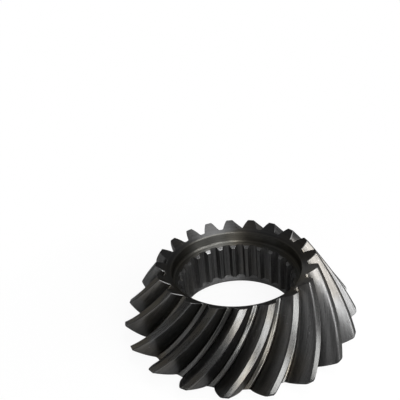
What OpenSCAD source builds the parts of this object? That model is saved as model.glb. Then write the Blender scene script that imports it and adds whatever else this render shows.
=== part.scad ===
// Spiral bevel transmission gear: a steel ring with curved teeth on its cone and an
// internal spline for its shaft. The blank is turned all over. A face cutter mills each
// tooth space along a circular arc, and the spline is cut from the counterbore down
// into a relief. The origin is at the centre of the back face, and +Z points along the
// axis to the small (toe) end of the teeth. +X runs through the middle of a tooth space
// at the toe and of a spline groove. Lengths are in millimetres and angles in degrees.

/* [Teeth] */
// Number of teeth
tooth_count = 20; // [20:1:24]
// Module in the transverse plane at the heel
outer_module = 8.4; // [8.2:0.1:9.4]
// Half-angle of the pitch cone
pitch_angle = 30; // [28:1:32]
// Length of the teeth along the pitch cone
face_width = 54; // [46:1:57]
// Spiral angle at the middle of the teeth
spiral_angle = 33; // [15:1:36]
// Hand of the spiral: 1 is right, -1 is left
spiral_hand = 1; // [1, -1]
// Radius of the cutter's path along a tooth space
cutter_radius = 127; // [110:1:220]
// Pressure angle at the toe
toe_pressure_angle = 24.4; // [20:0.1:26]
// Pressure angle at the heel
heel_pressure_angle = 22; // [19:0.1:24]
// Width of a tooth space at its root, square to the tooth
slot_width = 3.8; // [3:0.1:4.6]
// Tooth height above the pitch cone at the toe
toe_addendum = 4; // [3:0.1:5]
// Tooth height above the pitch cone at the heel
heel_addendum = 7.4; // [6:0.1:8]
// Space depth below the pitch cone at the toe
toe_dedendum = 4.6; // [3.8:0.1:5.2]
// Space depth below the pitch cone at the heel
heel_dedendum = 10; // [8:0.1:11]
// Height of the rounded corner at the root of a space
root_fillet = 1.3; // [0.8:0.1:1.8]

/* [Blank] */
// Height from the back face to the toe tips
gear_height = 56; // [55.4:0.1:62]
// Chamfer turned on the tooth tips at the heel
tip_chamfer = 1; // [0.4:0.1:2]
// Edge break round the back face
back_chamfer = 0.8; // [0.3:0.1:1.5]

/* [Bore] */
// Diameter of the pilot counterbore in the front
pilot_diameter = 98.4; // [96:0.1:101]
// Depth of the counterbore floor below the toe tips
pilot_depth = 15.8; // [13:0.1:19]
// Radius in the corner of the counterbore
pilot_fillet = 2.2; // [0.6:0.1:2.4]
// Width of the chamfer at the mouth of the counterbore
mouth_chamfer = 0.8; // [0.4:0.1:1.8]
// Diameter of the relief behind the spline
relief_diameter = 90.6; // [90.2:0.1:93]
// Height of the spline's lower end above the back face
spline_end_height = 9.2; // [7:0.1:13]
// Chamfer where the relief meets the back face
relief_chamfer = 3.3; // [1:0.1:4]

/* [Spline] */
// Number of spline teeth
spline_count = 24; // [20:1:28]
// Diameter over the roots of the spline
spline_major = 90; // [89:0.1:90.2]
// Diameter inside the tips of the spline teeth
spline_minor = 83; // [82:0.1:84.5]
// Thickness of a spline tooth halfway up its flank
spline_tooth = 4.7; // [3.8:0.1:5.2]
// Pressure angle of the spline
spline_pressure_angle = 30; // [25:1:37]
// Chamfer on the front ends of the spline teeth
spline_chamfer = 2; // [0.8:0.1:2.8]

/* [Hidden] */

// Steps along a tooth space, up its flank and round its root corner
face_steps = 12;
flank_steps = 5;
fillet_steps = 2;
// Steps up the flank of a spline groove
spline_steps = 3;
// How far a space's cutting body runs past the toe and the heel, and above the tips
runout = 2.5;
lift = 1;
// Overlap of each cut with the air beyond it
past = 1;
// Facets on the turned surfaces
$fn = 180;

function in_degrees(radians) = radians * 180 / PI;

// Cone distances, measured from the pitch cone's apex along the cone
heel_cone = outer_module * tooth_count / 2 / sin(pitch_angle);
toe_cone = heel_cone - face_width;
mid_cone = heel_cone - face_width / 2;

// Height of the apex that puts the toe tips at the gear's height
apex_height = gear_height + toe_cone * cos(pitch_angle) - toe_addendum * sin(pitch_angle);

// A point at a cone distance and a height above the pitch cone, as radius and height
function cone_point(distance, above) = [
    distance * sin(pitch_angle) + above * cos(pitch_angle),
    apex_height - distance * cos(pitch_angle) + above * sin(pitch_angle)
];
toe_tip = cone_point(toe_cone, toe_addendum);
heel_tip = cone_point(heel_cone, heel_addendum);

// Heights of the counterbore's floor, and of its chamfer's foot below the front cone
floor_z = gear_height - pilot_depth;
mouth_z = gear_height - (toe_tip[0] - pilot_diameter / 2) * tan(pitch_angle)
    - mouth_chamfer * (1 - tan(pitch_angle));

// How far along the face a cone distance lies, from 0 at the toe to 1 at the heel
function along(distance) = (distance - toe_cone) / face_width;
function addendum(distance) =
    toe_addendum + (heel_addendum - toe_addendum) * along(distance);
function dedendum(distance) =
    toe_dedendum + (heel_dedendum - toe_dedendum) * along(distance);
function pressure_angle(distance) =
    toe_pressure_angle + (heel_pressure_angle - toe_pressure_angle) * along(distance);

// The cutter's centre on the developed pitch cone, and the arc that it cuts
cutter_centre = sqrt(pow(mid_cone, 2) + pow(cutter_radius, 2)
    - 2 * mid_cone * cutter_radius * sin(spiral_angle));
function arc_angle(distance) = acos(
    (pow(distance, 2) + pow(cutter_centre, 2) - pow(cutter_radius, 2))
    / (2 * distance * cutter_centre));
function local_spiral(distance) = asin(
    (pow(distance, 2) + pow(cutter_radius, 2) - pow(cutter_centre, 2))
    / (2 * distance * cutter_radius));
// The centre line of a space turns about the axis from 0 at the toe
function space_turn(distance) = spiral_hand
    * (arc_angle(distance) - arc_angle(toe_cone)) / sin(pitch_angle);

// The involute function, in degrees
function involute(angle) = in_degrees(tan(angle)) - angle;
function involute_angle(base, radius) = acos(min(1, base / radius));

// Half the width of a space as an angle about the axis, from the equivalent spur gear
// that lies on the back cone at this distance
function half_space(distance, above) =
    let (equivalent = distance * tan(pitch_angle),
         spiral = local_spiral(distance),
         transverse = atan(tan(pressure_angle(distance)) / cos(spiral)),
         base = equivalent * cos(transverse),
         root = equivalent - dedendum(distance),
         root_half = in_degrees(slot_width / 2 / cos(spiral) / root))
    (root_half + involute(involute_angle(base, equivalent + above))
        - involute(involute_angle(base, root))) / cos(pitch_angle);

// One side of a space from root to tip, as half-angle and height above the pitch cone.
// The root corner is a curve between the root land and the flank.
function space_side(distance) =
    let (bottom = -dedendum(distance),
         top = addendum(distance) + lift,
         corner = half_space(distance, bottom),
         start = half_space(distance, bottom + root_fillet),
         root_radius = cone_point(distance, bottom)[0],
         flat = corner - in_degrees(root_fillet / root_radius))
    concat(
        [for (i = [0 : fillet_steps])
            let (t = i / fillet_steps)
            [pow(1 - t, 2) * flat + 2 * t * (1 - t) * corner + pow(t, 2) * start,
             bottom + pow(t, 2) * root_fillet]],
        [for (i = [1 : flank_steps])
            let (above = bottom + root_fillet
                + (top - bottom - root_fillet) * i / flank_steps)
            [half_space(distance, above), above]]);

// A full section: up one side, over a crowned middle point, and down the other side
function space_section(distance) =
    let (side = space_side(distance),
         last = len(side) - 1,
         edge = side[last],
         crown = cone_point(distance, edge[1])[0] * (1 - cos(edge[0])))
    concat(
        [for (p = side) p],
        [[0, edge[1] + crown]],
        [for (i = [last : -1 : 0]) [-side[i][0], side[i][1]]]);

function space_ring(distance) =
    [for (p = space_section(distance))
        let (place = cone_point(distance, p[1]),
             turn = space_turn(distance) + p[0])
        [place[0] * cos(turn), place[0] * sin(turn), place[1]]];

// The body that cuts one tooth space, swept along the cutter's arc
module tooth_space() {
    rings = [for (i = [0 : face_steps])
        space_ring(toe_cone - runout + (face_width + 2 * runout) * i / face_steps)];
    n = len(rings[0]);
    crown = (n - 1) / 2;
    polyhedron(
        points = [for (ring = rings) each ring],
        faces = concat(
            [for (i = [0 : face_steps - 1], j = [0 : n - 1])
                [i * n + j, (i + 1) * n + j, i * n + (j + 1) % n]],
            [for (i = [0 : face_steps - 1], j = [0 : n - 1])
                [i * n + (j + 1) % n, (i + 1) * n + j, (i + 1) * n + (j + 1) % n]],
            [for (j = [1 : n - 2])
                [crown, (crown + j) % n, (crown + j + 1) % n]],
            [for (j = [1 : n - 2])
                [face_steps * n + crown, face_steps * n + (crown + j + 1) % n,
                 face_steps * n + (crown + j) % n]]));
}

// The turned blank: front cone, face cone, heel chamfer, back cone and back face
module blank() {
    face = (heel_tip - toe_tip) / norm(heel_tip - toe_tip);
    back = [cos(pitch_angle), sin(pitch_angle)];
    back_edge = heel_tip[0] - heel_tip[1] / tan(pitch_angle);
    rotate_extrude()
        polygon([
            [0, 0],
            [back_edge - back_chamfer, 0],
            [back_edge, 0] + back_chamfer * back,
            heel_tip - tip_chamfer * back,
            heel_tip - tip_chamfer * face,
            toe_tip,
            [0, toe_tip[1] - toe_tip[0] * tan(pitch_angle)]
        ]);
}

// The counterbore, with its rounded corner and the chamfer at its mouth
module pilot_cut() {
    r = pilot_diameter / 2;
    reach = mouth_chamfer + past;
    rotate_extrude()
        difference() {
            polygon([
                [0, floor_z],
                [r, floor_z],
                [r, mouth_z],
                [r + reach, mouth_z + reach],
                [0, mouth_z + reach]
            ]);
            translate([r - pilot_fillet, floor_z])
                difference() {
                    translate([0, -past])
                        square([pilot_fillet + past, pilot_fillet + past]);
                    translate([0, pilot_fillet])
                        circle(pilot_fillet);
                }
        }
}

// The plain bores: through the spline's tips, the relief behind it, and two chamfers
module bore_cuts() {
    translate([0, 0, -past])
        cylinder(d = spline_minor, h = floor_z + 2 * past);
    translate([0, 0, -past])
        cylinder(d = relief_diameter, h = spline_end_height + past);
    translate([0, 0, -past])
        cylinder(r1 = relief_diameter / 2 + relief_chamfer + past,
                 r2 = relief_diameter / 2, h = relief_chamfer + past);
    translate([0, 0, floor_z - spline_chamfer])
        cylinder(r1 = spline_minor / 2, r2 = spline_minor / 2 + spline_chamfer + past,
                 h = spline_chamfer + past);
}

// Half the width of a spline groove as an angle about the axis. The spline tooth's
// thickness is set halfway between the two diameters, and its flanks are involutes.
spline_pitch = (spline_major + spline_minor) / 4;
function half_groove(radius) =
    let (base = spline_pitch * cos(spline_pressure_angle))
    180 / spline_count - in_degrees(spline_tooth / 2 / spline_pitch)
        - involute(involute_angle(base, radius)) + involute(spline_pressure_angle);

// The grooves of the spline, each a flank, a root on the major diameter and a flank
module spline_grooves() {
    inner = spline_minor / 2 - past;
    outer = spline_major / 2;
    side = [for (i = [0 : spline_steps])
        let (radius = inner + (outer - inner) * i / spline_steps)
        [radius, half_groove(radius)]];
    corner = half_groove(outer);
    beyond = (outer + past) / cos(corner);
    turns = concat(side, [[beyond, corner], [beyond, -corner]],
        [for (i = [spline_steps : -1 : 0]) [side[i][0], -side[i][1]]]);
    translate([0, 0, spline_end_height - past])
        intersection() {
            cylinder(d = spline_major, h = floor_z - spline_end_height + 2 * past);
            for (k = [0 : spline_count - 1])
                rotate(k * 360 / spline_count)
                    linear_extrude(floor_z - spline_end_height + 2 * past)
                        polygon([for (p = turns) p[0] * [cos(p[1]), sin(p[1])]]);
        }
}

module bevel_gear() {
    color("#4a4b4d")
        difference() {
            blank();
            for (k = [0 : tooth_count - 1])
                rotate(k * 360 / tooth_count)
                    tooth_space();
            pilot_cut();
            bore_cuts();
            spline_grooves();
        }
}

bevel_gear();
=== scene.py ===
import math
import bpy
import numpy as np
from mathutils import Matrix, Vector


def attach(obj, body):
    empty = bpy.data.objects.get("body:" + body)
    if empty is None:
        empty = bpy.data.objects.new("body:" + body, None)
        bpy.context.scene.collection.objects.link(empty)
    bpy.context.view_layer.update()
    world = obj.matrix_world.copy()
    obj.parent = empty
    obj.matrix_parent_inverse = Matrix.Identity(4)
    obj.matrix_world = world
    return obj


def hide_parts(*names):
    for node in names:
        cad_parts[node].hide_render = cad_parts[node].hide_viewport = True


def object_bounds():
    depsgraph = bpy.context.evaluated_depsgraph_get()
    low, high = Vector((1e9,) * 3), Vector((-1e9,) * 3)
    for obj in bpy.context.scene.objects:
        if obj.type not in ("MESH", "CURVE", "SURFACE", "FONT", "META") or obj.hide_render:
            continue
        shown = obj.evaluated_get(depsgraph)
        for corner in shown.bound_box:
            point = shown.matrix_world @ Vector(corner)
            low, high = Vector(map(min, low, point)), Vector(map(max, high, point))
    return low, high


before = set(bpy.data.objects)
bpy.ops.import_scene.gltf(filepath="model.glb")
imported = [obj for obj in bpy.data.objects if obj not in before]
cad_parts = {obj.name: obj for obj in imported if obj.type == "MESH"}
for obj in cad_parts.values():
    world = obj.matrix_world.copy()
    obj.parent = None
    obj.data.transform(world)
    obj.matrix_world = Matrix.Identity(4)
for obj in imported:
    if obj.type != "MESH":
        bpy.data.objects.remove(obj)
cad_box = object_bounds()

# The teeth: twenty curved spaces, milled in a case-hardened steel blank by a face cutter.
# The cutter's path is an arc on the pitch cone, and the flanks are nearly those of the
# spur gear that lies on the back cone. Heat treatment left the steel nearly black.
tooth_count = 20
outer_module = 0.0084
pitch_angle = math.radians(30)
face_width = 0.054
spiral_angle = math.radians(33)
cutter_radius = 0.127
pressure_angles = math.radians(24.4), math.radians(22)
addenda = 0.004, 0.0074
dedenda = 0.0046, 0.010
slot_width = 0.0038
root_fillet = 0.0013
tip_chamfer = 0.001
edge_break = 0.0003
half_pitch = math.pi / tooth_count
gear_height = cad_box[1][2]

heel_cone = outer_module * tooth_count / 2 / math.sin(pitch_angle)
toe_cone = heel_cone - face_width
mid_cone = heel_cone - face_width / 2
apex_height = (gear_height + toe_cone * math.cos(pitch_angle)
               - addenda[0] * math.sin(pitch_angle))
cutter_centre = math.sqrt(mid_cone ** 2 + cutter_radius ** 2
                          - 2 * mid_cone * cutter_radius * math.sin(spiral_angle))


def along(distance, ends):
    """A size that grows evenly from the toe to the heel."""
    return ends[0] + (ends[1] - ends[0]) * (distance - toe_cone) / face_width


def arc_angle(distance):
    """Where the cutter's arc crosses a cone distance, as an angle from the line of centres."""
    return np.arccos((distance ** 2 + cutter_centre ** 2 - cutter_radius ** 2)
                     / (2 * distance * cutter_centre))


def space_turn(distance):
    """How far the middle of a space has turned about the axis since the toe."""
    return (arc_angle(distance) - arc_angle(toe_cone)) / math.sin(pitch_angle)


def cut_length(distance):
    """The place along the cutter's path, as a length on its arc."""
    angle = np.arccos((cutter_centre ** 2 + cutter_radius ** 2 - distance ** 2)
                      / (2 * cutter_centre * cutter_radius))
    return angle * cutter_radius


def involute(base, radius):
    angle = np.arccos(np.minimum(1, base / radius))
    return np.tan(angle) - angle


def half_space(distance, above):
    """Half the width of a space, as an angle about the axis, at a height above the pitch cone."""
    equivalent = distance * math.tan(pitch_angle)
    spiral = np.arcsin((distance ** 2 + cutter_radius ** 2 - cutter_centre ** 2)
                       / (2 * distance * cutter_radius))
    pressure = np.arctan(np.tan(along(distance, pressure_angles)) / np.cos(spiral))
    base = equivalent * np.cos(pressure)
    root = equivalent - along(distance, dedenda)
    root_half = slot_width / 2 / np.cos(spiral) / root
    half = root_half + involute(base, equivalent + above) - involute(base, root)
    return half / math.cos(pitch_angle)


def cone_point(distance, above):
    """Radius and height of a point at a cone distance and a height above the pitch cone."""
    return (distance * math.sin(pitch_angle) + above * math.cos(pitch_angle),
            apex_height - distance * math.cos(pitch_angle) + above * math.sin(pitch_angle))


def round_axis(radius, turn, height):
    """Points in space from their radii, their angles about the axis and their heights."""
    height = np.broadcast_to(height, radius.shape)
    return np.stack([radius * np.cos(turn), radius * np.sin(turn), height], 1)


# A sector of the ring holds one space and half of the tooth on each side. Its columns run
# from the toe to the heel: over the land, the edge break, the flank and the root corner to
# the middle of the root, and back up the other side. The later kinds are turned or broached.
(LAND, EDGE, FLANK, CORNER, ROOT, TOE_EDGE, FRONT, BACK, SEAT, SHOULDER, RELIEF, SPLINE,
 SPLINE_END) = range(13)
land_steps, flank_steps, corner_steps, root_steps = 3, 12, 5, 3
face_rows = 44
half_columns = [(LAND, i / land_steps) for i in range(land_steps + 1)]
half_columns += [(FLANK, i / flank_steps) for i in range(flank_steps + 1)]
half_columns += [(CORNER, i / corner_steps) for i in range(1, corner_steps + 1)]
half_columns += [(ROOT, i / root_steps) for i in range(1, root_steps + 1)]
columns = half_columns + half_columns[-2::-1]
column_kind = np.array([kind for kind, _ in columns])
column_part = np.array([part for _, part in columns])
column_side = np.where(np.arange(len(columns)) < len(half_columns), -1.0, 1.0)
kind_pairs = list(zip(column_kind, column_kind[1:]))
strip_kinds = [EDGE if {a, b} == {LAND, FLANK} else int(max(a, b)) for a, b in kind_pairs]


def columns_at(distance):
    """The angle from the space's middle and the height above the pitch cone of every column."""
    top = along(distance, addenda)
    bottom = -along(distance, dedenda)
    corner_top = bottom + root_fillet
    corner = half_space(distance, bottom)
    flat = corner - root_fillet / cone_point(distance, bottom)[0]
    land_edge = half_space(distance, top) + edge_break / cone_point(distance, top)[0]
    part = column_part
    rise = (1 - part) ** 2
    on_land = half_pitch + (land_edge - half_pitch) * part
    on_flank = top - edge_break + (corner_top - top + edge_break) * part
    swing = (flat * part ** 2 + 2 * corner * part * (1 - part)
             + half_space(distance, corner_top) * rise)
    kinds = [column_kind == LAND, column_kind == FLANK, column_kind == CORNER]
    above = np.select(kinds, [top, on_flank, bottom + root_fillet * rise], bottom)
    angle = np.select(kinds, [on_land, half_space(distance, on_flank), swing],
                      flat * (1 - part))
    return angle * column_side, above


def placed(distance, angle, above):
    """Points in space of columns at these cone distances, angles and heights."""
    radius, height = cone_point(distance, above)
    return round_axis(radius, space_turn(distance) + angle, height)


def drawn_in(distance, angle, above):
    """The same section, drawn into the metal by the edge break."""
    radius = cone_point(distance, above)[0]
    across = np.stack([radius * angle, above], 1)
    step = np.gradient(across, axis=0)
    normal = np.stack([step[:, 1], -step[:, 0]], 1) / np.linalg.norm(step, axis=1)[:, None]
    normal[0] = normal[-1] = 0, -1
    moved = across + normal * edge_break
    return moved[:, 0] / radius, moved[:, 1]


class Sector:
    """One sector of the ring in the making: points, faces, the finish of each face, and how
    far each point lies along the cut and across it."""

    def __init__(self):
        self.points, self.faces, self.finishes, self.run = [], [], [], []

    def row(self, points, run=None):
        start = len(self.points)
        self.points += [tuple(p) for p in points]
        self.run += [tuple(r) for r in run] if run is not None else [(0, 0)] * len(points)
        return list(range(start, start + len(points)))

    def ring(self, radius, height, turns):
        return self.row([(radius * math.cos(a), radius * math.sin(a), height) for a in turns])

    def strip(self, low, high, kinds):
        """Quads between two rows of as many points, of one kind or of a kind for each quad."""
        for i in range(len(low) - 1):
            self.faces.append((low[i], low[i + 1], high[i + 1], high[i]))
            self.finishes.append(kinds if isinstance(kinds, int) else kinds[i])

    def turned(self, row, outline, turns, kind):
        """A turned surface: a row for each point of the outline, joined to the one before."""
        for radius, height in outline:
            ring = self.ring(radius, height, turns)
            self.strip(row, ring, kind)
            row = ring
        return row

    def bridge(self, low, high, kind):
        """Triangles between two rows whose points differ in number but span the same angle."""
        shares = []
        for row in (low, high):
            angles = np.unwrap([math.atan2(self.points[i][1], self.points[i][0]) for i in row])
            shares.append((angles - angles[0]) / (angles[-1] - angles[0]))
        i = j = 0
        while i < len(low) - 1 or j < len(high) - 1:
            if j == len(high) - 1 or (i < len(low) - 1 and shares[0][i + 1] <= shares[1][j + 1]):
                self.faces.append((low[i], low[i + 1], high[j]))
                i += 1
            else:
                self.faces.append((low[i], high[j + 1], high[j]))
                j += 1
            self.finishes.append(kind)

    def finished(self, name):
        """The sector as an object, with its finishes and its run as attributes."""
        mesh = bpy.data.meshes.new(name)
        mesh.from_pydata(self.points, [], self.faces)
        mesh.attributes.new("finish", "INT", "FACE").data.foreach_set("value", self.finishes)
        corners = np.array([self.run[loop.vertex_index] for loop in mesh.loops], np.float32)
        mesh.uv_layers.new(name="cut").data.foreach_set("uv", corners.ravel())
        sector = bpy.data.objects.new(name, mesh)
        bpy.context.scene.collection.objects.link(sector)
        return sector


# The heel is turned off along the back cone, and its tips have a chamfer, so each column
# ends where it meets the one or the other. A few passes settle where that is.
face_line = np.array([face_width, addenda[1] - addenda[0]])
face_line /= np.linalg.norm(face_line)
chamfer_foot = addenda[1] - tip_chamfer
chamfer_lean = (1 - face_line[1]) / face_line[0]
heel_passes = 6


def heel_limit(above):
    return heel_cone - np.maximum(0, above - chamfer_foot) / chamfer_lean


heel_ends = np.full(len(columns), heel_cone)
for _ in range(heel_passes):
    heel_ends = heel_limit(columns_at(heel_ends)[1])

tooth_sector = Sector()
tooth_rows = []
for step in range(face_rows + 1):
    cut_from = toe_cone + edge_break
    distance = cut_from + (heel_ends - edge_break - cut_from) * step / face_rows
    angle, above = columns_at(distance)
    points = placed(distance, angle, above)
    across = np.concatenate([[0], np.cumsum(np.linalg.norm(np.diff(points, axis=0), axis=1))])
    run = np.stack([cut_length(distance), across - across[-1] / 2], 1)
    tooth_rows.append(tooth_sector.row(points, run))
    if step:
        tooth_sector.strip(tooth_rows[-1], tooth_rows[-2], strip_kinds)


def node(tree, kind, inputs=(), result=0, **settings):
    """A node with its inputs set from numbers or other nodes. Returns one of its outputs."""
    made = tree.nodes.new(kind)
    for key, value in settings.items():
        setattr(made, key, value)
    for key, value in dict(inputs).items():
        if isinstance(value, bpy.types.NodeSocket):
            tree.links.new(value, made.inputs[key])
        else:
            made.inputs[key].default_value = value
    return made.outputs[result]


def math_node(tree, operation, *values):
    return node(tree, "ShaderNodeMath", enumerate(values), operation=operation)


def vector_node(tree, operation, *values, result=0):
    return node(tree, "ShaderNodeVectorMath", enumerate(values), result, operation=operation)


def noise(tree, vector, scale, detail=2, roughness=0.5):
    return node(tree, "ShaderNodeTexNoise",
                {"Vector": vector, "Scale": scale, "Detail": detail, "Roughness": roughness})


def between(tree, value, low, high, to_low, to_high):
    """to_low where value is low or less, to_high where it is high or more."""
    return node(tree, "ShaderNodeMapRange", {"Value": value, "From Min": low, "From Max": high,
                                             "To Min": to_low, "To Max": to_high})


def mix(tree, share, first, second, blend="MIX"):
    """A colour between two, or the first changed by the second, by a share from 0 to 1."""
    return node(tree, "ShaderNodeMix", {"Factor": share, 6: first, 7: second}, result=2,
                data_type="RGBA", blend_type=blend)


def tool_marks_along_cut(tree, marks_along=45, marks_across=1400):
    """Marks that run along the tooth, as the cutter and the lapping leave them."""
    cut = node(tree, "ShaderNodeUVMap", uv_map="cut")
    return vector_node(tree, "MULTIPLY", cut, (marks_along, marks_across, 0))


def tool_marks_round_axis(tree, rings_across=1500, drift_round=22):
    """Rings left by turning, which change with the radius and the height, and hardly
    round the axis."""
    place = node(tree, "ShaderNodeTexCoord", result="Object")
    flat = vector_node(tree, "MULTIPLY", place, (1, 1, 0))
    radius = vector_node(tree, "LENGTH", flat, result=1)
    height = node(tree, "ShaderNodeSeparateXYZ", {0: place}, result=2)
    rings = node(tree, "ShaderNodeCombineXYZ",
                 {0: math_node(tree, "MULTIPLY", radius, rings_across),
                  1: math_node(tree, "MULTIPLY", height, rings_across)})
    drift = vector_node(tree, "MULTIPLY", flat, (drift_round, drift_round, drift_round))
    return vector_node(tree, "ADD", rings, drift)


def tool_marks_along_bore(tree, marks_along=30, marks_across=1300):
    """Straight marks down the bore, as the broach leaves them."""
    place = node(tree, "ShaderNodeTexCoord", result="Object")
    return vector_node(tree, "MULTIPLY", place, (marks_across, marks_across, marks_along))


# How the steel is dressed: how fine its grain, stains and knocks are, where on the scale of
# each noise they start and end, and how far they change its colour and its roughness.
grain_scale, stain_scale, nick_scale = 1900, 22, 420
stain_shift = 5.1, 3.3, 1.6
broad_stretch = 0.3, 0.3, 0.3
streak_share, grain_share, broad_share = 0.35, 0.35, 0.3
shade_range = 0.37, 0.63
stain_range = 0.48, 0.6
nick_range = 0.74, 0.78
brown_film = 1.02, 0.9, 0.72, 1
bare_steel = 0.5, 0.5, 0.5, 1
grazing_tint = 0.45, 0.45, 0.45, 1
quarter_turn = 0.25
shade_spread, stain_spread = 0.22, 0.12


def machined_steel(name, marks, dark, light, rough, mark_depth, grain_depth, warm=0.0,
                   nicks=0.0, turned=0.0):
    """Steel whose tool marks lighten, roughen and groove it. dark and light are the ends of
    its colour, warm is how brown its stains are, nicks is how bright its knocks are, and
    turned is how far the rings that turning leaves spread its sheen across themselves."""
    material = bpy.data.materials.new(name)
    material.use_nodes = True
    tree = material.node_tree
    shader = tree.nodes["Principled BSDF"]
    shader.inputs["Metallic"].default_value = 1
    shader.inputs["Specular Tint"].default_value = grazing_tint
    place = node(tree, "ShaderNodeTexCoord", result="Object")
    if turned:
        shader.inputs["Anisotropic"].default_value = turned
        shader.inputs["Anisotropic Rotation"].default_value = quarter_turn
        round_ring = vector_node(tree, "CROSS_PRODUCT", (0, 0, 1), place)
        tree.links.new(round_ring, shader.inputs["Tangent"])
    streaks = noise(tree, marks(tree), scale=1, detail=3, roughness=0.6)
    grain = noise(tree, place, grain_scale, roughness=0.6)
    clouds = noise(tree, vector_node(tree, "ADD", place, stain_shift), stain_scale, detail=3)
    broad = noise(tree, vector_node(tree, "MULTIPLY", marks(tree), broad_stretch), scale=1)
    shade = math_node(tree, "MULTIPLY", grain, grain_share)
    shade = math_node(tree, "MULTIPLY_ADD", streaks, streak_share, shade)
    shade = math_node(tree, "MULTIPLY_ADD", broad, broad_share, shade)
    colour = mix(tree, between(tree, shade, *shade_range, 0, 1), (*dark, 1), (*light, 1))
    stain = between(tree, clouds, *stain_range, 0, warm)
    colour = mix(tree, stain, colour, brown_film, blend="MULTIPLY")
    if nicks:
        knock = between(tree, noise(tree, place, nick_scale, detail=1), *nick_range, 0, nicks)
        colour = mix(tree, knock, colour, bare_steel)
    tree.links.new(colour, shader.inputs["Base Color"])
    roughness = math_node(tree, "MULTIPLY_ADD", shade, shade_spread, rough - shade_spread / 2)
    roughness = math_node(tree, "SUBTRACT", roughness, stain_spread / 2)
    roughness = math_node(tree, "MULTIPLY_ADD", clouds, stain_spread, roughness)
    tree.links.new(roughness, shader.inputs["Roughness"])
    relief = math_node(tree, "MULTIPLY", grain, grain_depth)
    relief = math_node(tree, "MULTIPLY_ADD", streaks, mark_depth, relief)
    bump = node(tree, "ShaderNodeBump", {"Strength": 1, "Distance": 1, "Height": relief})
    tree.links.new(bump, shader.inputs["Normal"])
    return material


finishes = {
    LAND: machined_steel(
        "tooth_lands", tool_marks_along_cut, dark=(0.07, 0.07, 0.069),
        light=(0.155, 0.155, 0.152), rough=0.28, mark_depth=8e-6, grain_depth=12e-6, warm=0.7),
    FLANK: machined_steel(
        "tooth_flanks", tool_marks_along_cut, dark=(0.105, 0.105, 0.105),
        light=(0.215, 0.215, 0.215), rough=0.3, mark_depth=12e-6, grain_depth=4e-6, warm=0.4,
        nicks=0.4),
    ROOT: machined_steel(
        "tooth_roots", tool_marks_along_cut, dark=(0.03, 0.03, 0.029),
        light=(0.195, 0.195, 0.191), rough=0.2, mark_depth=24e-6, grain_depth=8e-6, warm=0.7),
    # The edge breaks along the lands and at the heel are coloured darker than the lands and
    # flanks. This is painted shade that dims their glints into dark lines.
    EDGE: machined_steel(
        "broken_edges_painted_shade", tool_marks_along_cut, dark=(0.035, 0.035, 0.035),
        light=(0.09, 0.09, 0.09), rough=0.4, mark_depth=10e-6, grain_depth=10e-6),
    # The edge breaks at the toe are coloured lighter than the other edge breaks. This is a
    # painted highlight that brightens their glints.
    TOE_EDGE: machined_steel(
        "toe_edges_painted_highlight", tool_marks_along_cut, dark=(0.06, 0.06, 0.06),
        light=(0.2, 0.2, 0.2), rough=0.3, mark_depth=10e-6, grain_depth=10e-6),
}
finishes[CORNER] = finishes[ROOT]

# The front: a cone square to the tooth roots, and the counterbore that takes a pilot. Both
# are turned, the counterbore with a small chamfer at its mouth, a rounded foot and a faced
# floor. A web joins the columns of the teeth to the even grid of the turned faces.
pilot_radius = 0.0492
pilot_depth = 0.0158
pilot_fillet = 0.0022
mouth_chamfer = 0.0008
seam_radius = 0.0462
toe_web = 0.0012
web_width = 0.0004
grid_turn = math.radians(0.75)
tooth_grid = 12
wall_steps, fillet_points = 3, 9
floor_height = gear_height - pilot_depth
toe_tip = cone_point(toe_cone, addenda[0])


def front_height(radius):
    return gear_height - (toe_tip[0] - radius) * math.tan(pitch_angle)


toe_ends = np.full(len(columns), toe_cone)
angle, above = drawn_in(toe_ends, *columns_at(toe_ends))
toe_row = tooth_sector.row(placed(toe_ends, angle, above))
tooth_sector.strip(tooth_rows[0], toe_row, TOE_EDGE)
web_radius = cone_point(toe_cone, -dedenda[0])[0] - toe_web
web_row = tooth_sector.ring(web_radius, front_height(web_radius), angle)
tooth_sector.strip(toe_row, web_row, FRONT)
grid = [grid_turn * k for k in range(-tooth_grid, tooth_grid + 1)]
web_radius -= web_width
grid_row = tooth_sector.ring(web_radius, front_height(web_radius), grid)
tooth_sector.bridge(web_row, grid_row, FRONT)
mouth_radius = pilot_radius + mouth_chamfer
mouth_foot = front_height(mouth_radius) - mouth_chamfer
mouth = [(mouth_radius, front_height(mouth_radius))]
mouth_row = tooth_sector.turned(grid_row, mouth, grid, FRONT)
foot = floor_height + pilot_fillet
wall = [(pilot_radius, mouth_foot + (foot - mouth_foot) * i / wall_steps)
        for i in range(wall_steps)]
wall += [(pilot_radius - pilot_fillet * (1 - math.cos(a)), foot - pilot_fillet * math.sin(a))
         for a in np.linspace(0, math.pi / 2, fillet_points)]
wall_row = tooth_sector.turned(mouth_row, wall, grid, SEAT)
tooth_sector.turned(wall_row, [(seam_radius, floor_height)], grid, SHOULDER)

finishes[FRONT] = machined_steel(
    "turned_front", tool_marks_round_axis, dark=(0.05, 0.05, 0.05), light=(0.105, 0.105, 0.105),
    rough=0.35, mark_depth=8e-6, grain_depth=6e-6, warm=0.6, nicks=0.15, turned=0.5)
finishes[SEAT] = machined_steel(
    "bored_seat", tool_marks_round_axis, dark=(0.065, 0.065, 0.06), light=(0.155, 0.153, 0.142),
    rough=0.4, mark_depth=40e-6, grain_depth=3e-6, warm=0.5, turned=0.8)
finishes[SHOULDER] = machined_steel(
    "faced_shoulder", tool_marks_round_axis, dark=(0.085, 0.085, 0.08),
    light=(0.21, 0.208, 0.197), rough=0.46, mark_depth=40e-6, grain_depth=3e-6, warm=0.5,
    turned=0.9)

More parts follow.
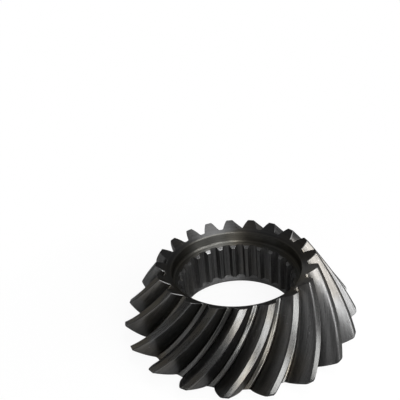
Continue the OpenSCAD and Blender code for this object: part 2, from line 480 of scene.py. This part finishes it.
# The heel and the back: the back cone and the flat back face, turned and ground, and the
# relief behind the spline, which lets the broach past.
relief_radius = 0.0453
relief_chamfer = 0.0033
spline_end_height = 0.0092
back_chamfer = 0.0008
heel_web = 0.0014
heel_tip = cone_point(heel_cone, addenda[1])
back_edge = heel_tip[0] - heel_tip[1] / math.tan(pitch_angle)


def back_height(radius):
    return heel_tip[1] - (heel_tip[0] - radius) * math.tan(pitch_angle)


angle, above = drawn_in(heel_ends, *columns_at(heel_ends))
distance = heel_limit(above)
heel_row = tooth_sector.row(placed(distance, angle, above))
tooth_sector.strip(heel_row, tooth_rows[-1], EDGE)
turn = space_turn(distance) + angle
radius, height = cone_point(heel_cone, np.minimum(above, chamfer_foot))
foot_row = tooth_sector.row(round_axis(radius, turn, height))
tooth_sector.strip(foot_row, heel_row, BACK)
web_radius = cone_point(heel_cone, -dedenda[1])[0] - heel_web
web_row = tooth_sector.ring(web_radius, back_height(web_radius), turn)
tooth_sector.strip(web_row, foot_row, BACK)
first = round(turn[0] / grid_turn)
grid = [grid_turn * (first + k) for k in range(2 * tooth_grid + 1)]
grid_radius = web_radius - web_width
mouth = [(relief_radius, relief_chamfer)]
back = [(relief_radius + relief_chamfer, 0),
        (back_edge - back_chamfer, 0),
        (back_edge + back_chamfer * math.cos(pitch_angle), back_chamfer * math.sin(pitch_angle)),
        (grid_radius, back_height(grid_radius))]
relief_row = tooth_sector.ring(relief_radius, spline_end_height, grid)
mouth_row = tooth_sector.turned(relief_row, mouth, grid, RELIEF)
back_row = tooth_sector.turned(mouth_row, back, grid, BACK)
tooth_sector.bridge(back_row, web_row, BACK)

finishes[BACK] = machined_steel(
    "turned_back", tool_marks_round_axis, dark=(0.055, 0.055, 0.055), light=(0.11, 0.11, 0.11),
    rough=0.34, mark_depth=12e-6, grain_depth=6e-6, warm=0.9, nicks=0.15, turned=0.6)
finishes[RELIEF] = machined_steel(
    "bored_relief", tool_marks_round_axis, dark=(0.11, 0.11, 0.11), light=(0.28, 0.28, 0.28),
    rough=0.48, mark_depth=40e-6, grain_depth=10e-6, turned=0.9)

# The spline: twenty-four involute teeth, broached down into the relief. Their front ends
# are chamfered with the floor of the counterbore.
spline_count = 24
spline_major = 0.045
spline_minor = 0.0415
spline_tooth = 0.0047
spline_pressure_angle = math.radians(30)
spline_chamfer = 0.002
spline_grid = 10
ridge_steps, groove_flank_points, groove_steps, spline_rows = 3, 8, 4, 5


def half_groove(radius):
    """Half the width of a groove at a radius, as an angle about the axis."""
    pitch = (spline_major + spline_minor) / 2
    base = pitch * math.cos(spline_pressure_angle)
    at_pitch = math.pi / spline_count - spline_tooth / 2 / pitch
    return at_pitch - involute(base, radius) + involute(base, pitch)


ridge = np.linspace(math.pi / spline_count, half_groove(spline_minor), ridge_steps + 1)[:-1]
flank = np.linspace(spline_minor, spline_major, groove_flank_points)
groove = np.linspace(half_groove(spline_major), 0, groove_steps + 1)[1:]
radii = np.concatenate([np.full(ridge_steps, spline_minor), flank,
                        np.full(groove_steps, spline_major)])
turns = -np.concatenate([ridge, half_groove(flank), groove])
radii, turns = np.concatenate([radii, radii[-2::-1]]), np.concatenate([turns, -turns[-2::-1]])
lip_radius = spline_minor + spline_chamfer
drop = np.maximum(0, lip_radius - radii)

spline_sector = Sector()
grid = [grid_turn * k for k in range(-spline_grid, spline_grid + 1)]
floor_row = spline_sector.ring(seam_radius, floor_height, grid)
lip_row = spline_sector.row(round_axis(np.maximum(radii, lip_radius), turns, floor_height))
spline_sector.bridge(floor_row, lip_row, SHOULDER)
top = floor_height - drop
reach = spline_end_height - floor_height + drop
row = spline_sector.row(round_axis(radii, turns, top))
spline_sector.strip(lip_row, row, SPLINE_END)
for step in range(1, spline_rows + 1):
    below = spline_sector.row(round_axis(radii, turns, top + reach * step / spline_rows))
    spline_sector.strip(row, below, SPLINE)
    row = below
relief_row = spline_sector.ring(relief_radius, spline_end_height, grid)
spline_sector.bridge(row, relief_row, RELIEF)

finishes[SPLINE] = machined_steel(
    "broached_spline", tool_marks_along_bore, dark=(0.035, 0.035, 0.035),
    light=(0.18, 0.18, 0.18), rough=0.52, mark_depth=30e-6, grain_depth=10e-6, warm=0.2)
# The chamfered spline ends are coloured lighter than the steel around them. This is a painted
# highlight on top of their real glints.
finishes[SPLINE_END] = machined_steel(
    "spline_ends_painted_highlight", tool_marks_round_axis, dark=(0.12, 0.12, 0.12), light=(0.36, 0.36, 0.36),
    rough=0.24, mark_depth=10e-6, grain_depth=10e-6)

# The whole ring. The tooth sector is turned into place twenty times and the spline sector
# twenty-four times, and their seams are closed, so that the gear is one closed skin. The
# tool marks shift from tooth to tooth, and edges sharper than sharp_angle stay sharp.
sharp_angle = math.radians(28)
tree = bpy.data.node_groups.new("gear ring", "GeometryNodeTree")
tree.interface.new_socket("Geometry", in_out="INPUT", socket_type="NodeSocketGeometry")
tree.interface.new_socket("Geometry", in_out="OUTPUT", socket_type="NodeSocketGeometry")
ring_inputs = {}
for name, kind in (("Tooth sector", "NodeSocketObject"), ("Tooth count", "NodeSocketInt"),
                   ("Spline sector", "NodeSocketObject"), ("Spline count", "NodeSocketInt"),
                   ("Seam width", "NodeSocketFloat"), ("Mark shift", "NodeSocketFloat")):
    socket = tree.interface.new_socket(name, in_out="INPUT", socket_type=kind)
    ring_inputs[name] = socket.identifier
given = tree.nodes.new("NodeGroupInput").outputs
both = tree.nodes.new("GeometryNodeJoinGeometry")
number = node(tree, "GeometryNodeInputIndex")
for sector, count in (("Tooth sector", "Tooth count"), ("Spline sector", "Spline count")):
    one = node(tree, "GeometryNodeObjectInfo", {"Object": given[sector]}, result="Geometry")
    spots = node(tree, "GeometryNodePoints", {"Count": given[count]})
    share = math_node(tree, "DIVIDE", number, given[count])
    about = node(tree, "ShaderNodeCombineXYZ",
                 {"Z": math_node(tree, "MULTIPLY", share, math.tau)})
    copies = node(tree, "GeometryNodeInstanceOnPoints",
                  {"Points": spots, "Instance": one, "Rotation": about})
    numbered = node(tree, "GeometryNodeStoreNamedAttribute",
                    {"Geometry": copies, "Name": "place", "Value": number},
                    data_type="INT", domain="INSTANCE")
    tree.links.new(numbered, both.inputs[0])
skin = node(tree, "GeometryNodeRealizeInstances", {"Geometry": both.outputs[0]})
cut = node(tree, "GeometryNodeInputNamedAttribute", {"Name": "cut"}, data_type="FLOAT_VECTOR")
place = node(tree, "GeometryNodeInputNamedAttribute", {"Name": "place"}, data_type="INT")
shift = node(tree, "ShaderNodeCombineXYZ",
             {"X": math_node(tree, "MULTIPLY", place, given["Mark shift"])})
skin = node(tree, "GeometryNodeStoreNamedAttribute",
            {"Geometry": skin, "Name": "cut", "Value": vector_node(tree, "ADD", cut, shift)},
            data_type="FLOAT2", domain="CORNER")
skin = node(tree, "GeometryNodeMergeByDistance",
            {"Geometry": skin, "Distance": given["Seam width"]})
skin = node(tree, "GeometryNodeSetShadeSmooth", {"Geometry": skin})
finish = node(tree, "GeometryNodeInputNamedAttribute", {"Name": "finish"}, data_type="INT")
for kind, material in finishes.items():
    here = node(tree, "FunctionNodeCompare", {"A": finish, "B": kind}, data_type="INT",
                operation="EQUAL")
    skin = node(tree, "GeometryNodeSetMaterial",
                {"Geometry": skin, "Selection": here, "Material": material})
tree.links.new(skin, tree.nodes.new("NodeGroupOutput").inputs[0])

gear = bpy.data.objects.new("gear", bpy.data.meshes.new("gear"))
bpy.context.scene.collection.objects.link(gear)
ring = gear.modifiers.new("gear ring", "NODES")
ring.node_group = tree
sectors = tooth_sector.finished("tooth_sector"), spline_sector.finished("spline_sector")
for name, value in (("Tooth sector", sectors[0]), ("Tooth count", tooth_count),
                    ("Spline sector", sectors[1]), ("Spline count", spline_count),
                    ("Seam width", 0.00001), ("Mark shift", 0.137)):
    ring[ring_inputs[name]] = value
bpy.context.view_layer.update()
whole = gear.evaluated_get(bpy.context.evaluated_depsgraph_get())
gear_mesh = bpy.data.meshes.new_from_object(whole)
gear.modifiers.clear()
gear.data = gear_mesh
if gear_mesh.materials[0] is None:
    gear_mesh.materials.pop(index=0)
gear_mesh.set_sharp_from_angle(angle=sharp_angle)
for sector in sectors:
    bpy.data.objects.remove(sector)
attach(gear, "root")
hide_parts("bevel_gear")

# The studio: a white sweep with no horizon, and five soft lamps. The white shows to the
# camera and dimly in the steel. Near the gear's foot it gives way to the paint, where the
# floor keeps a faint real shadow. In the steel it fades from farther out to almost nothing
# at the foot, a painted shade under the gear. To the light and the steel the floor's paint
# is a mid grey.
floor_reach = 3.0
paint_in_view, paint_in_light = (0.95, 0.95, 0.95, 1), (0.55, 0.55, 0.55, 1)
foot_radius = 0.1
shadow_end, shadow_white = 0.25, 0.92
glow_end, glow_at_foot, glow_beyond = 0.5, 0.03, 0.3
horizon_range, horizon_glow = (0.05, 0.2), 0.32
world_light = 0.16
pure_white = 1, 1, 1, 1
lamp_distance = 1.0


def seen_white(tree, to_steel):
    """1 to the camera, to_steel where the steel mirrors it, and 0 as light."""
    path = tree.nodes.new("ShaderNodeLightPath").outputs
    mirrored = math_node(tree, "MULTIPLY", path["Is Glossy Ray"], to_steel)
    beyond = math_node(tree, "MAXIMUM", mirrored, path["Is Transmission Ray"])
    return math_node(tree, "MAXIMUM", path["Is Camera Ray"], beyond)


floor_mesh = bpy.data.meshes.new("floor")
floor_corners = [(x * floor_reach, y * floor_reach, 0)
                 for x, y in ((-1, -1), (1, -1), (1, 1), (-1, 1))]
floor_mesh.from_pydata(floor_corners, [], [(0, 1, 2, 3)])
floor = bpy.data.objects.new("floor", floor_mesh)
bpy.context.scene.collection.objects.link(floor)
sweep = bpy.data.materials.new("white_sweep")
sweep.use_nodes = True
tree = sweep.node_tree
in_view = node(tree, "ShaderNodeLightPath", result="Is Camera Ray")
paint = node(tree, "ShaderNodeBsdfDiffuse",
             {"Color": mix(tree, in_view, paint_in_light, paint_in_view)})
white = node(tree, "ShaderNodeEmission", {"Color": pure_white, "Strength": 1})
place = node(tree, "ShaderNodeTexCoord", result="Object")
away = vector_node(tree, "LENGTH", place, result=1)
# In the steel the floor's white fades towards the gear's foot by distance alone. This is painted
# shade under the gear.
to_steel = between(tree, away, foot_radius, glow_end, glow_at_foot, glow_beyond)
clear = between(tree, away, foot_radius, shadow_end, shadow_white, 1)
share = math_node(tree, "MULTIPLY", seen_white(tree, to_steel), clear)
mixed = node(tree, "ShaderNodeMixShader", {0: share, 1: paint, 2: white})
tree.links.new(mixed, tree.nodes["Material Output"].inputs["Surface"])
floor_mesh.materials.append(sweep)

world = bpy.data.worlds.new("studio")
bpy.context.scene.world = world
world.use_nodes = True
tree = world.node_tree
direction = node(tree, "ShaderNodeTexCoord")
up = node(tree, "ShaderNodeSeparateXYZ", {0: direction}, result=2)
share = seen_white(tree, between(tree, up, *horizon_range, horizon_glow, 0))
dim = node(tree, "ShaderNodeBackground", {"Color": pure_white, "Strength": world_light})
white = node(tree, "ShaderNodeBackground", {"Color": pure_white, "Strength": 1})
mixed = node(tree, "ShaderNodeMixShader", {0: share, 1: dim, 2: white})
tree.links.new(mixed, tree.nodes["World Output"].inputs["Surface"])


def softbox(name, azimuth, elevation, width, height, light_on_gear):
    """A lamp aimed at the gear. Azimuth 0 is in front of it and 90 is to its right."""
    light = bpy.data.lights.new(name, "AREA")
    light.shape = "RECTANGLE"
    light.size, light.size_y = width, height
    light.energy = light_on_gear * math.pi * lamp_distance ** 2
    lamp = bpy.data.objects.new(name, light)
    bpy.context.scene.collection.objects.link(lamp)
    a, e = math.radians(azimuth), math.radians(elevation)
    middle = Vector((0, 0, gear_height / 2))
    towards = Vector((math.sin(a) * math.cos(e), -math.cos(a) * math.cos(e), math.sin(e)))
    lamp.location = middle + lamp_distance * towards
    lamp.rotation_euler = (middle - lamp.location).to_track_quat("-Z", "Y").to_euler()


softbox("key_front", azimuth=8, elevation=28, width=0.17, height=0.76, light_on_gear=1.4)
softbox("key_middle", azimuth=37, elevation=27, width=0.34, height=1.0, light_on_gear=2.0)
softbox("key_right", azimuth=72, elevation=28, width=0.34, height=0.82, light_on_gear=1.8)
softbox("top_right", azimuth=95, elevation=74, width=0.45, height=0.45, light_on_gear=0.85)
softbox("back_low", azimuth=201, elevation=7, width=0.34, height=0.26, light_on_gear=0.18)

# The camera, at the photograph's viewing angle. It stands off from the middle of the gear's
# front, and is turned aside, so that the gear lies off the middle of the picture.
film_width = 36
focus_in_widths = 447.33 / 400
camera_distance = 0.34114
camera_elevation = math.radians(32.649)
camera_turn = math.radians(5.88)
camera_roll = math.radians(3.4527)
camera_pan = math.radians(-4.049)
camera_tilt = math.radians(-7.543)
lens = bpy.data.cameras.new("camera")
lens.sensor_width = film_width
lens.lens = film_width * focus_in_widths
lens.clip_start = 0.01
camera = bpy.data.objects.new("camera", lens)
bpy.context.scene.collection.objects.link(camera)
aside = (Matrix.Rotation(camera_roll, 3, "Z") @ Matrix.Rotation(camera_pan, 3, "Y")
         @ Matrix.Rotation(camera_tilt, 3, "X"))
about = Matrix.Rotation(camera_turn, 3, "Z")
upright = Matrix.Rotation(math.pi / 2 - camera_elevation, 3, "X")
place = Vector((0, -camera_distance * math.cos(camera_elevation),
                camera_distance * math.sin(camera_elevation) + gear_height))
facing = (about @ upright @ aside.transposed()).to_4x4()
camera.matrix_world = Matrix.Translation(about @ place) @ facing
bpy.context.scene.camera = camera
bpy.context.scene.view_settings.view_transform = "Standard"
